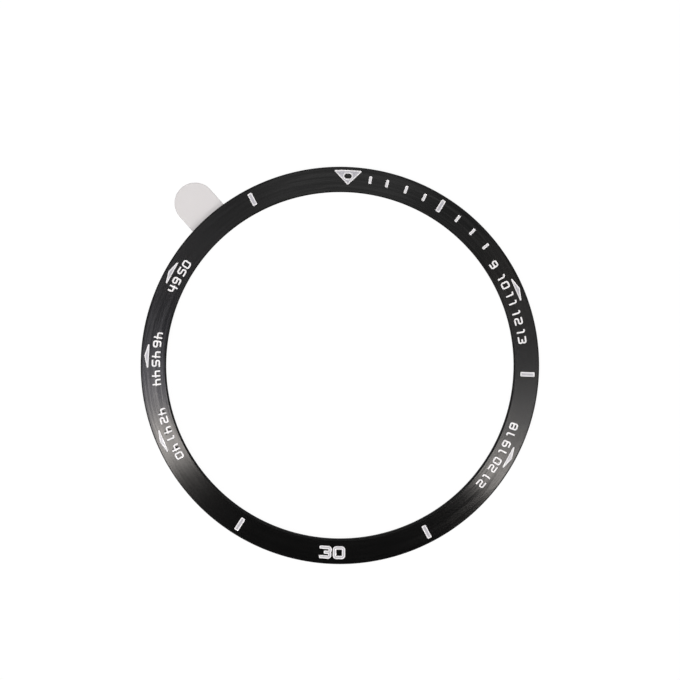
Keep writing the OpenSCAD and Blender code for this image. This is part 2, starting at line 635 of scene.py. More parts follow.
def grooves_group() -> bpy.types.NodeTree:
    """Makes the group for what runs round the ring's axis, such as brush lines or the marks of a die.

    Returns:
        The group. Place is a point in metres, Lines the number of lines a metre across, and Length how
        often a line breaks off round the ring.
    """
    made = ("Fine", "Broad", "Turned", "Scratch", "Height")
    graph, entry = new_group("round_grooves", {"Lines": 9000, "Length": 2}, made)
    place = graph.node("ShaderNodeSeparateXYZ", {0: entry["Place"]}).outputs
    flat = graph.node("ShaderNodeCombineXYZ", {0: place[0], 1: place[1]}).outputs[0]
    turn = graph.vector("NORMALIZE", {0: flat})[0]
    along = graph.vector("SCALE", {0: turn, "Scale": entry["Length"]})[0]
    heads = graph.node("ShaderNodeSeparateXYZ", {0: along}).outputs
    across = graph.times(graph.vector("LENGTH", {0: flat})["Value"], entry["Lines"])

    def lines(scale: float, detail: float, reach: float) -> Socket:
        """Noise stretched round the ring."""
        spot = {0: graph.times(heads[0], reach), 1: graph.times(heads[1], reach), 2: across}
        return graph.noise(graph.node("ShaderNodeCombineXYZ", spot).outputs[0], scale, detail, 0.6)

    fine = graph.stretched(lines(1.0, 3, 1.0), 0.3, 0.7)
    broad = graph.stretched(lines(0.5, 2, 2.5), 0.3, 0.7)
    scratch = graph.stretched(lines(1.9, 0, 3.5), 0.74, 0.84)
    rings = graph.stretched(graph.math("SINE", graph.blended(across, 4.6, broad, 8.0)), -1.0, 1.0)
    height = graph.blended(fine, 0.7, broad, 0.3)
    graph.node("NodeGroupOutput", dict(zip(made, (fine, broad, rings, scratch, height))))
    return graph.tree


def speckle_group() -> bpy.types.NodeTree:
    """Makes the group for the uneven look of a cast or rolled surface: fine grain, clouds and a few specks.

    Returns:
        The group. Place is a point in metres, Grain and Cloud are the scales of the noises.
    """
    graph, entry = new_group("speckle", {"Grain": 9000, "Cloud": 900}, ("Grain", "Cloud", "Specks"))
    grain = graph.noise(entry["Place"], entry["Grain"], 3, 0.6)
    cloud = graph.noise(entry["Place"], entry["Cloud"], 2)
    dots = graph.node("ShaderNodeTexVoronoi", {"Vector": entry["Place"], "Scale": entry["Grain"]})
    edge = {"From Min": 0.02, "From Max": 0.12, "To Min": 1, "To Max": 0}
    specks = graph.node("ShaderNodeMapRange", {"Value": dots.outputs["Distance"], **edge}).outputs["Result"]
    graph.node("NodeGroupOutput", {"Grain": grain, "Cloud": cloud, "Specks": specks})
    return graph.tree


class Effects:
    """The shader node groups that several finishes share, each made once."""

    def __init__(self) -> None:
        """Makes the groups."""
        self.grooves = grooves_group()
        self.speckle = speckle_group()


@dataclass(frozen=True)
class Finish:
    """What every finish has: its name, the shader's plain values, and the scales of relief and effects."""

    name: str
    roughness: float
    specular: float
    relief: float
    relief_depth: float
    grain: float
    cloud: float
    lines: float
    length: float

    def start(self, effects: Effects) -> tuple[Material, Graph, dict[str, Socket]]:
        """Makes an empty material with the shared effects placed in it.

        Args:
            effects: The shared groups. A finish of no lines has the speckle alone.

        Returns:
            The material, a graph of its tree, and the outputs of the effects by name.
        """
        material = bpy.data.materials.new(self.name)
        material.use_nodes = True
        graph = Graph(material.node_tree)
        groups = [(effects.speckle, {"Grain": self.grain, "Cloud": self.cloud})]
        if self.lines:
            groups.append((effects.grooves, {"Lines": self.lines, "Length": self.length}))
        place = graph.node("ShaderNodeTexCoord").outputs["Object"]
        outputs: dict[str, Socket] = {}
        for tree, values in groups:
            placed = graph.node("ShaderNodeGroup", {"Place": place, **values}, node_tree=tree)
            outputs |= {socket.name: socket for socket in placed.outputs}
        return material, graph, outputs

    def rough(self, graph: Graph, value: Socket, less: float, more: float) -> Socket:
        """Roughness that runs with value from less under the finish's own to more above it."""
        return graph.spread(value, self.roughness - less, self.roughness + more)

    def close(
        self, graph: Graph, height: Socket, inputs: dict[str, object], normal: Socket | None = None
    ) -> None:
        """Adds the relief, the surface shader and the output.

        Args:
            graph: The material's graph.
            height: Height of the relief.
            inputs: The shader's other inputs.
            normal: The normal that the relief starts from, where it isn't the surface's own.
        """
        relief = {"Height": height, "Strength": self.relief, "Distance": self.relief_depth}
        if normal is not None:
            relief["Normal"] = normal
        bump = graph.node("ShaderNodeBump", relief).outputs[0]
        surface = graph.node(
            "ShaderNodeBsdfPrincipled", {"Specular IOR Level": self.specular, "Normal": bump, **inputs}
        )
        graph.node("ShaderNodeOutputMaterial", {"Surface": surface.outputs[0]})


@dataclass(frozen=True)
class BrushedBlack(Finish):
    """Black coated steel: a face brushed in circles that sway a little, and dull walls and bevels, with the
    dull finish also put on a band of the face along the opening as painted shade.
    """

    relief: float = 0.35
    relief_depth: float = 0.000005
    grain: float = 7000
    cloud: float = 330
    lines: float = 3200
    length: float = 1.6
    dark: Colour = (0.0186, 0.0186, 0.0188)
    light: Colour = (0.0330, 0.0328, 0.0328)
    bare: Colour = (0.068, 0.066, 0.064)
    dull: Colour = (0.0045, 0.0045, 0.0047)
    dull_roughness: float = 0.55
    dust: float = 0.3
    scratching: float = 0.5
    wall_grain: float = 1.5
    sway: float = 0.018

    def colour(self, graph: Graph, made: dict[str, Socket], streak: Socket, wall: Socket) -> Socket:
        """Mixes the colour of the brushed, scratched and rubbed face and of the dusty walls, whose dull
        colour also makes the painted shade band along the opening.

        Args:
            graph: The material's graph.
            made: Outputs of the shared effects by name.
            streak: The brush lines.
            wall: 1 on the walls and on the painted shade band along the opening's edge of the face, 0 on the
                rest of the face.

        Returns:
            The colour.
        """
        brushed = graph.mix(streak, self.dark, self.light)
        marked = graph.times(made["Scratch"], graph.spread(made["Cloud"], -0.5, 1.1))
        scratched = graph.mix(graph.times(marked, self.scratching), brushed, self.bare)
        rubbed = graph.times(graph.stored("edge"), graph.spread(made["Cloud"], -0.3, 0.5))
        dusty = graph.mix(graph.times(made["Grain"], self.dust), self.dull, self.light)
        return graph.mix(wall, graph.mix(rubbed, scratched, self.bare), dusty)

    def build(self, effects: Effects) -> Material:
        """Makes the material.

        Args:
            effects: The shared groups.

        Returns:
            The material.
        """
        material, graph, made = self.start(effects)
        # The wall mask also holds the painted shade band on the face along the opening.
        wall = graph.stored("wall")
        face = graph.math("SUBTRACT", 1, wall)
        streak = graph.blended(made["Fine"], 0.6, made["Turned"], 0.4)
        duller = graph.times(wall, self.dull_roughness - self.roughness)
        wall_height = graph.times(made["Grain"], graph.times(wall, self.wall_grain))
        height = graph.math("ADD", graph.times(made["Height"], face), wall_height)
        tangent = graph.node("ShaderNodeTangent", direction_type="RADIAL", axis="Z").outputs[0]
        off_circle = graph.times(graph.math("SUBTRACT", streak, 0.5), self.sway)
        aside = graph.vector("SCALE", {0: tangent, "Scale": off_circle})[0]
        surface = graph.node("ShaderNodeNewGeometry").outputs["Normal"]
        inputs = {
            "Base Color": self.colour(graph, made, streak, wall),
            "Metallic": face,
            "Roughness": graph.math("ADD", self.rough(graph, made["Cloud"], 0.02, 0.02), duller),
            "Anisotropic": 0.95,
            "Anisotropic Rotation": 0.25,
            "Tangent": tangent,
        }
        self.close(graph, height, inputs, graph.vector("ADD", {0: surface, 1: aside})[0])
        return material


@dataclass(frozen=True)
class Enamel(Finish):
    """White epoxy filled into the engraving, its colour painted whiter near the walls as a painted highlight
    and greyer in the sunken middle as painted shade.
    """

    relief: float = 0.3
    relief_depth: float = 0.000006
    grain: float = 16000
    cloud: float = 2600
    lines: float = 0
    length: float = 0
    # middle is painted shade in the sunken middle of the fill, edge a painted highlight where the fill climbs
    # the walls.
    middle: Colour = (0.44, 0.44, 0.485)
    edge: Colour = (0.97, 0.97, 0.98)
    tint: Colour = (0.5, 0.5, 0.52)
    speck: Colour = (0.35, 0.35, 0.36)

    def build(self, effects: Effects) -> Material:
        """Makes the material.

        Args:
            effects: The shared groups.

        Returns:
            The material.
        """
        material, graph, made = self.start(effects)
        # The stored share paints the fill white at its rim as a painted highlight and grey in its middle as
        # painted shade.
        uneven = graph.times(graph.stored("depth"), graph.spread(made["Cloud"], 0.75, 1.25))
        base = graph.mix(uneven, self.edge, self.middle)
        tinted = graph.mix(graph.spread(made["Grain"], -0.1, 0.25), base, self.tint)
        colour = graph.mix(graph.times(made["Specks"], 0.12), tinted, self.speck)
        rough = self.rough(graph, made["Cloud"], 0.06, 0.08)
        self.close(graph, made["Grain"], {"Base Color": colour, "Roughness": rough, "Coat Weight": 0.15})
        return material


@dataclass(frozen=True)
class MilkyFilm(Finish):
    """Milky release film, a little see-through, darker along its cut edge, with faint rolling lines."""

    relief: float = 0.25
    relief_depth: float = 0.00001
    grain: float = 5200
    cloud: float = 260
    lines: float = 2600
    length: float = 1.2
    face: Colour = (0.787, 0.772, 0.768)
    cut: Colour = (0.52, 0.51, 0.515)
    lilac: Colour = (0.79, 0.78, 0.80)
    pale: Colour = (0.9, 0.9, 0.9)
    alpha: float = 0.8

    def build(self, effects: Effects) -> Material:
        """Makes the material.

        Args:
            effects: The shared groups.

        Returns:
            The material.
        """
        material, graph, made = self.start(effects)
        cloudy = graph.mix(graph.spread(made["Cloud"], -0.3, 0.8), self.face, self.lilac)
        base = graph.mix(graph.times(graph.stored("edge"), 0.8), cloudy, self.cut)
        colour = graph.mix(graph.spread(made["Grain"], 0.0, 0.07), base, self.pale)
        rough = self.rough(graph, made["Grain"], 0.05, 0.08)
        height = graph.blended(made["Grain"], 0.6, made["Broad"], 0.8)
        self.close(graph, height, {"Base Color": colour, "Roughness": rough, "Alpha": self.alpha})
        return material


@dataclass(frozen=True)
class TapeLayer(Finish):
    """A layer of the double-sided tape: clear glue or the film that carries it."""

    relief: float = 0.3
    relief_depth: float = 0.00002
    grain: float = 2400
    cloud: float = 500
    lines: float = 1800
    length: float = 2.0
    thick: Colour = (0.58, 0.56, 0.50)
    thin: Colour = (0.68, 0.66, 0.61)
    bubble: Colour = (0.86, 0.85, 0.82)
    bubbles: float = 0.3

    def build(self, effects: Effects) -> Material:
        """Makes the material.

        Args:
            effects: The shared groups.

        Returns:
            The material.
        """
        material, graph, made = self.start(effects)
        base = graph.mix(graph.spread(made["Cloud"], -0.2, 1.2), self.thick, self.thin)
        colour = graph.mix(graph.times(made["Specks"], self.bubbles), base, self.bubble)
        rough = self.rough(graph, made["Cloud"], 0.08, 0.1)
        height = graph.math("ADD", made["Cloud"], graph.times(made["Fine"], 0.3))
        self.close(graph, height, {"Base Color": colour, "Roughness": rough, "Coat Weight": 0.2})
        return material


@dataclass
class Finishes:
    """All the finishes of the part, made once."""

    effects: Effects = field(default_factory=Effects)

    def __post_init__(self) -> None:
        """Builds the materials."""
        self.metal = BrushedBlack("brushed_black", roughness=0.24, specular=0.06).build(self.effects)
        self.enamel = Enamel("white_enamel_fill", roughness=0.38, specular=0.5).build(self.effects)
        self.film = MilkyFilm("milky_film", roughness=0.36, specular=0.4).build(self.effects)
        self.glue = TapeLayer("clear_glue", roughness=0.3, specular=0.45).build(self.effects)
        thick, thin = (0.42, 0.44, 0.46), (0.5, 0.52, 0.54)
        self.carrier = TapeLayer(
            "carrier_film", roughness=0.22, specular=0.5, thick=thick, thin=thin, bubbles=0.1
        ).build(self.effects)


@dataclass
class BezelRing:
    """The black ring: a sloping face with engraved marks, bevels, walls and a flat back, in millimetres."""

    opening_r: float = 20.3
    rim_r: float = 23.25
    thickness: float = 1.2
    slope: float = math.tan(math.radians(6))
    rim_bevel: float = 0.15
    opening_bevel: float = 0.1
    back_bevel: float = 0.03
    bevel_foot: float = 0.02
    engraving_depth: float = 0.12
    print_depth: float = 0.06
    cutter_r: float = 0.1
    edge_break: float = 0.014
    edge_wear: float = 0.5
    # Width of a band of painted shade: the face along the opening is given the dark dull wall finish.
    dark_line: float = 0.06
    rounding: tuple[float, ...] = (0.7, 0.3, 0.0)
    wall_lean: float = 0.008
    mark_margin: float = 0.05
    spans: int = 8
    turns: int = 720

    def face_z(self, points: Points) -> Points:
        """Height of the sloping face above points."""
        return self.thickness - (np.hypot(points[:, 0], points[:, 1]) - self.opening_r) * self.slope

    def profile(self) -> list[tuple[float, float]]:
        """Follows the ring's section from the opening's bevel across the back to the rim's bevel.

        Returns:
            Radius and height of each point.
        """
        ri, ro, b, o, soft = self.opening_r, self.rim_r, self.opening_bevel, self.rim_bevel, self.back_bevel
        top_in = self.thickness - b * self.slope
        top_out = self.thickness - (ro - o - ri) * self.slope
        rim_top = self.thickness - (ro - ri) * self.slope - o
        return [
            (ri + b * 0.78, top_in - b * 0.14),
            (ri + b * 0.16, self.thickness - b * 0.82),
            (ri, self.thickness - b - self.bevel_foot),
            (ri, self.thickness * 0.5),
            (ri, soft),
            (ri + soft * 0.3, soft * 0.3),
            (ri + soft, 0),
            ((ri + ro) / 2, 0),
            (ro - soft, 0),
            (ro - soft * 0.3, soft * 0.3),
            (ro, soft),
            (ro, rim_top * 0.5),
            (ro, rim_top - self.bevel_foot),
            (ro - o * 0.12, rim_top + o * 0.36),
            (ro - o * 0.42, top_out - o * 0.24),
            (ro - o * 0.74, top_out - o * 0.09),
        ]

    def net(self, marks: Sequence[Mark]) -> tuple[Points, Points, Points, Points, tuple[Points, Points]]:
        """Nets the face with every mark's pocket in it.

        Args:
            marks: The engraved marks.

        Returns:
            Points in space, the strength of the painted shade band along the opening, which are on the edge
            of a pocket, triangles, and the numbers of the inner and outer circles.
        """
        sheet = Sheet()
        low, high = self.opening_r + self.opening_bevel, self.rim_r - self.rim_bevel
        edges = [sheet.add(circle(radius, self.turns), 0, True) for radius in (low, high)]
        for radius in (low + self.dark_line, *np.linspace(low, high, self.spans + 1)[1:-1]):
            row = circle(float(radius), self.turns)
            busy = np.any([mark.near(row, self.mark_margin) for mark in marks], axis=0)
            sheet.add(row[~busy], 0, False)
        for mark in marks:
            sampled = mark.field()
            for level, drop in ((self.edge_break, 0), (0, self.edge_break), (-self.wall_lean, mark.depth)):
                for loop in contours(sampled, level):
                    sheet.add(turned(loop, mark.angle), drop, True)
        flat, drops, faces, (inner, outer) = sheet.triangles(edges)
        points = np.column_stack([flat, self.face_z(flat) - drops])
        # Painted shade: the face beside the opening's bevel takes the dull wall finish, fully at the bevel
        # and fading out across the band.
        line = np.clip(1 - (np.hypot(flat[:, 0], flat[:, 1]) - low) / self.dark_line, 0, 1)
        return points, line, (drops > 0) * self.edge_wear, uncovered(faces, inner), (inner, outer)

    def build(self, marks: Sequence[Mark], finishes: Finishes) -> Object:
        """Builds the ring.

        Args:
            marks: The engraved marks.
            finishes: The part's materials.

        Returns:
            The ring, riding on its body in place of the plain one.
        """
        points, line, worn, net, (inner, outer) = self.net(marks)
        corner = points[net]
        upward = np.cross(corner[:, 1] - corner[:, 0], corner[:, 2] - corner[:, 0])[:, 2] > 0
        faces = [tuple(f if up else f[::-1]) for f, up in zip(net.tolist(), upward)]
        profile = self.profile()
        around = np.arange(self.turns) + len(points)
        rows = [inner, *(around + k * self.turns for k in range(len(profile))), outer]
        for a, b in zip(rows, rows[1:]):
            faces += [tuple(map(int, quad)) for quad in zip(a, np.roll(a, -1), np.roll(b, -1), b)]
        sides = [np.column_stack([circle(r, self.turns), np.full(self.turns, z)]) for r, z in profile]
        ring = new_piece("ring_metal", np.vstack([points, *sides]), faces)
        dull = np.ones(len(profile))
        dull[-len(self.rounding) :] = self.rounding
        walls = np.repeat(dull, self.turns)
        store(ring, "edge", np.concatenate([worn, np.zeros(len(walls))]))
        store(ring, "wall", np.concatenate([line, walls]))
        dress(ring, finishes.metal)
        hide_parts("bezel_ring")
        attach(ring, Body.BEZEL.value)
        return ring


@dataclass
class EnamelFill:
    """Enamel in one mark's pocket, climbing its walls and sinking a little in the middle."""

    ring: BezelRing
    clearance: float = 0.008
    insets: tuple[float, ...] = (0.03, 0.06, 0.1, 0.14, 0.19)
    climb: float = 0.010
    sink: float = 0.026
    reach: float = 0.055
    # How far in from the rim the painted highlight reaches.
    bright: float = 0.07

    def parts(self, mark: Mark) -> tuple[Points, Points, Faces]:
        """Nets one mark's enamel.

        Args:
            mark: The mark to fill.

        Returns:
            Points in space, each one's share of painted shade from 0 near the walls to 1 in the middle, and
            faces.
        """
        sampled = mark.field()
        sheet = Sheet()
        rims = []
        for inset in (self.clearance, *self.insets):
            for loop in contours(sampled, -inset):
                line = sheet.add(turned(loop, mark.angle), inset, True)
                if inset == self.clearance:
                    rims.append(line)
        flat, level, net, edges = sheet.triangles(rims)
        net = net[mark.distance(flat[net].mean(axis=1)) < -self.clearance / 2]
        sunk = 1 - np.exp(-(level - self.clearance) / self.reach)
        share = mark.depth / self.ring.engraving_depth
        face = self.ring.face_z(flat)
        top = np.column_stack([flat, face - (self.climb + self.sink * sunk) * share])
        floor = np.column_stack([flat, face - mark.depth])
        # Share of painted shade: 0 within the painted highlight near the rim, rising to 1 in the middle.
        painted_shade_share = np.clip((level - self.bright) / (self.insets[-1] - self.bright), 0, 1)
        return np.vstack([top, floor]), np.concatenate([painted_shade_share, painted_shade_share]), slab(net, edges, len(flat))

    def build(
        self, name: str, marks: Iterable[Mark], finishes: Finishes, node: str | None
    ) -> Object:
        """Builds the enamel of one or more marks as one piece.

        Args:
            name: Name of the piece.
            marks: The marks that it fills.
            finishes: The part's materials.
            node: The plain solid that it stands for, if it has one.

        Returns:
            The piece, riding on the ring's body.
        """
        points, sunk, faces, count = [], [], [], 0
        for mark in marks:
            more, depth, own = self.parts(mark)
            points.append(more)
            sunk.append(depth)
            faces += [tuple(k + count for k in f) for f in own]
            count += len(more)
        piece = new_piece(name, np.vstack(points), faces)
        recalculate(piece)
        # The depth attribute holds the share of painted shade, not a depth.
        store(piece, "depth", np.concatenate(sunk))
        dress(piece, finishes.enamel)
        if node:
            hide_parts(node)
        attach(piece, Body.BEZEL.value)
        return piece


@dataclass
class MinuteTrack:
    """The marks that the ring shares with the frame, at the frame's own sizes in millimetres."""

    ring: BezelRing
    triangle_gap: float = 0.36
    triangle_w: float = 3.12
    triangle_h: float = 1.69
    pip_w: float = 0.84
    pip_h: float = 0.57
    pip_in: float = 0.71
    tick_gap: float = 0.82
    tick_l: float = 0.91
    tick_w: float = 0.34
    first_tick_angle: float = 6.8
    first_bar_gap: float = 0.44
    first_bar_angle: float = 29.6
    bar_gap: float = 0.52
    short_bar_l: float = 1.54
    long_bar_l: float = 1.68
    bar_w: float = 0.54
    arrow_gap: float = 0.42
    arrow_w: float = 2.76
    arrow_h: float = 0.54
    button_spread: float = 26
    left_lift: float = 0.8
    side_points: int = 33

    def patch(self, core: Sequence[tuple[float, float]], angle: float, pips: tuple[Pip, ...] = ()) -> Mark:
        """Makes a mark of one polygon.

        Args:
            core: The places of the cutter's centre at the polygon's corners.
            angle: Clockwise angle of the mark.
            pips: Spots of metal left standing in it.

        Returns:
            The mark.
        """
        loop, cutter = np.array(core), self.ring.cutter_r
        low, high = loop.min(0) - cutter, loop.max(0) + cutter
        return Mark((Patch(loop, cutter),), low, high, angle, self.ring.engraving_depth, pips)

    def upright(self, gap: float, length: float, width: float, angle: float) -> Mark:
        """Makes a bar or tick.

        Args:
            gap: How far inside the rim its outer end lies.
            length: Its length.
            width: Its width.
            angle: Its clockwise angle.

        Returns:
            The mark.
        """
        side = width / 2 - self.ring.cutter_r
        top = self.ring.rim_r - gap - self.ring.cutter_r
        bottom = self.ring.rim_r - gap - length + self.ring.cutter_r
        return self.patch([(-side, bottom), (side, bottom), (side, top), (-side, top)], angle)

    def arrow(self, angle: float) -> Mark:
        """Makes a flat triangle that points out at a button.

        Args:
            angle: Its clockwise angle.

        Returns:
            The mark.
        """
        side = self.arrow_w / 2 - self.ring.cutter_r
        point = self.ring.rim_r - self.arrow_gap - self.ring.cutter_r
        base = self.ring.rim_r - self.arrow_gap - self.arrow_h + self.ring.cutter_r
        return self.patch([(-side, base), (side, base), (0, point)], angle)

    def triangle(self) -> Mark:
        """Makes the zero triangle, whose side follows the rim round a bare pip.

        Returns:
            The mark.
        """
        cutter = self.ring.cutter_r
        side_r = self.ring.rim_r - self.triangle_gap
        arc_r = side_r - cutter
        half = math.asin((self.triangle_w / 2 - cutter) / arc_r)
        sweep = np.linspace(half, -half, self.side_points)
        curve = [(arc_r * math.sin(a), arc_r * math.cos(a)) for a in sweep]
        point = (0.0, side_r - self.triangle_h + cutter)
        return self.patch([point, *curve], 0, (Pip(0, side_r - self.pip_in, self.pip_w, self.pip_h),))

    def marks(self) -> dict[str, Mark]:
        """Makes all the marks.

        Returns:
            The marks by the name of the frame's node.
        """
        made = {"zero_triangle": self.triangle()}
        places = {minute: minute * DEGREES_PER_MINUTE for minute in range(60)}
        places |= {1: self.first_tick_angle, 5: self.first_bar_angle}
        for minute in (1, 2, 3, 4, 6, 7, 8):
            tick = self.upright(self.tick_gap, self.tick_l, self.tick_w, places[minute])
            made[f"tick_{minute:02d}"] = tick
        for minute, gap, length in (
            (5, self.first_bar_gap, self.short_bar_l),
            (15, self.bar_gap, self.long_bar_l),
            (25, self.bar_gap, self.long_bar_l),
            (35, self.bar_gap, self.long_bar_l),
            (55, self.bar_gap, self.short_bar_l),
        ):
            made[f"bar_{minute:02d}"] = self.upright(gap, length, self.bar_w, places[minute])
        right, left = places[15], places[45] + self.left_lift
        for name, angle in {
            "upper_right": right - self.button_spread,
            "lower_right": right + self.button_spread,
            "lower_left": left - self.button_spread,
            "left": left,
            "upper_left": left + self.button_spread,
        }.items():
            made[f"arrow_{name}"] = self.arrow(angle)
        return made


# Strokes of the figures on a square of side 1, each as whether it closes on itself and its corners.
FIGURES: dict[str, tuple[tuple[bool, tuple[tuple[float, float], ...]], ...]] = {
    "0": ((True, ((0, 0), (1, 0), (1, 1), (0, 1))),),
    "1": ((False, ((0.1, 1), (0.62, 1), (0.62, 0))),),
    "2": ((False, ((0, 1), (1, 1), (1, 0.5), (0, 0.5), (0, 0), (1, 0))),),
    "3": (
        (False, ((0, 1), (1, 1), (1, 0.5), (0.32, 0.5))),
        (False, ((0.32, 0.5), (1, 0.5), (1, 0), (0, 0))),
    ),
    "4": ((False, ((0, 1), (0, 0.42), (1, 0.42))), (False, ((0.86, 0), (0.86, 1)))),
    "5": ((False, ((1, 1), (0, 1), (0, 0.52), (1, 0.52), (1, 0), (0, 0))),),
    "6": ((True, ((0, 0), (1, 0), (1, 0.52), (0, 0.52))), (False, ((0.95, 1), (0, 1), (0, 0.25)))),
    "8": ((True, ((0, 0), (1, 0), (1, 1), (0, 1))), (False, ((0, 0.5), (1, 0.5)))),
    "9": ((True, ((0, 0.48), (1, 0.48), (1, 1), (0, 1))), (False, ((0.05, 0), (1, 0), (1, 0.75)))),
}


@dataclass(frozen=True)
class Figures:
    """A squared style of figure, in millimetres."""

    height: float
    width: float
    stroke: float
    gap: float
    bend: float
    cutter: float

    def figure(
        self, digit: str, along: float, radius: float, facing: Facing, angle: float, depth: float
    ) -> Mark:
        """Places one digit.

        Args:
            digit: The digit.
            along: Place of its middle beside the number's middle, positive to the reader's right.
            radius: Radius of its middle.
            facing: Which way its top points.
            angle: Clockwise angle of the number's middle.
            depth: Depth of its engraving.

        Returns:
            The digit's mark.
        """
        turn = math.degrees(along / radius) * facing.value
        span = np.array([self.width - self.stroke, self.height - self.stroke])
        strokes = []
        for closed, corners in FIGURES[digit]:
            path = (np.array(corners) - 0.5) * span
            ends = path.copy()
            if not closed:
                for end, inside in ((0, 1), (-1, -2)):
                    ahead = path[end] - path[inside]
                    free = np.abs(np.abs(path[end]) - span / 2) < TINY
                    if free[np.argmax(np.abs(ahead))]:
                        ends[end] = path[end] + ahead / np.linalg.norm(ahead) * self.stroke / 2
            placed = ends * facing.value + np.array([0, radius])
            strokes.append(Stroke(placed, self.stroke, self.bend, self.cutter, closed))
        loop = np.vstack([stroke.path for stroke in strokes])
        low, high = loop.min(0) - self.stroke / 2, loop.max(0) + self.stroke / 2
        return Mark(tuple(strokes), low, high, angle + turn, depth)

    def number(self, value: int, radius: float, facing: Facing, angle: float, depth: float) -> list[Mark]:
        """Places a number's digits side by side.

        Args:
            value: The number.
            radius: Radius of the digits' middles.
            facing: Which way their tops point.
            angle: Clockwise angle of the number's middle.
            depth: Depth of the engraving.

        Returns:
            A mark for each digit.
        """
        digits, pitch = str(value), self.width + self.gap
        start = -(len(digits) - 1) / 2 * pitch
        places = [start + k * pitch for k in range(len(digits))]
        return [self.figure(*pair, radius, facing, angle, depth) for pair in zip(digits, places)]


@dataclass
class Numbers:
    """The numbers on the face: the large one at thirty minutes and the small ones by the arrows."""

    ring: BezelRing
    large: Figures = Figures(height=1.54, width=1.455, stroke=0.4, gap=0.14, bend=0.21, cutter=0.12)
    small: Figures = Figures(height=1.0, width=0.84, stroke=0.2, gap=0.16, bend=0.17, cutter=0.045)
    large_r: float = 21.85
    small_r: float = 21.45

    def marks(self) -> dict[str, list[Mark]]:
        """Makes the marks of each number.

        Returns:
            The marks by the name of the number's piece.
        """
        large = self.large.number(30, self.large_r, Facing.INWARD, 180, self.ring.engraving_depth)
        made = {"number_30": large}
        for facing, minutes in (
            (Facing.OUTWARD, (9, 10, 11, 12, 13)),
            (Facing.INWARD, (18, 19, 20, 21)),
            (Facing.INWARD, (40, 41, 42)),
            (Facing.INWARD, (44, 45, 46)),
            (Facing.OUTWARD, (49, 50)),
        ):
            for minute in minutes:
                made[f"number_{minute:02d}"] = self.small.number(
                    minute, self.small_r, facing, minute * DEGREES_PER_MINUTE, self.ring.print_depth
                )
        return made


@dataclass
class Tape:
    """The double-sided tape: the frame's own three layers, dressed."""

    finishes: Finishes

    def dress(self) -> list[Object]:
        """Dresses the layers.

        Returns:
            The layers, from the ring outward.
        """
        layers = []
        for node, material, slot in (
            ("upper_glue", self.finishes.glue, Slot.GLUE),
            ("carrier_film", self.finishes.carrier, Slot.TAPE),
            ("lower_glue", self.finishes.glue, Slot.GLUE),
        ):
            layers.append(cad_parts[node])
            dress(layers[-1], material)
        return layers


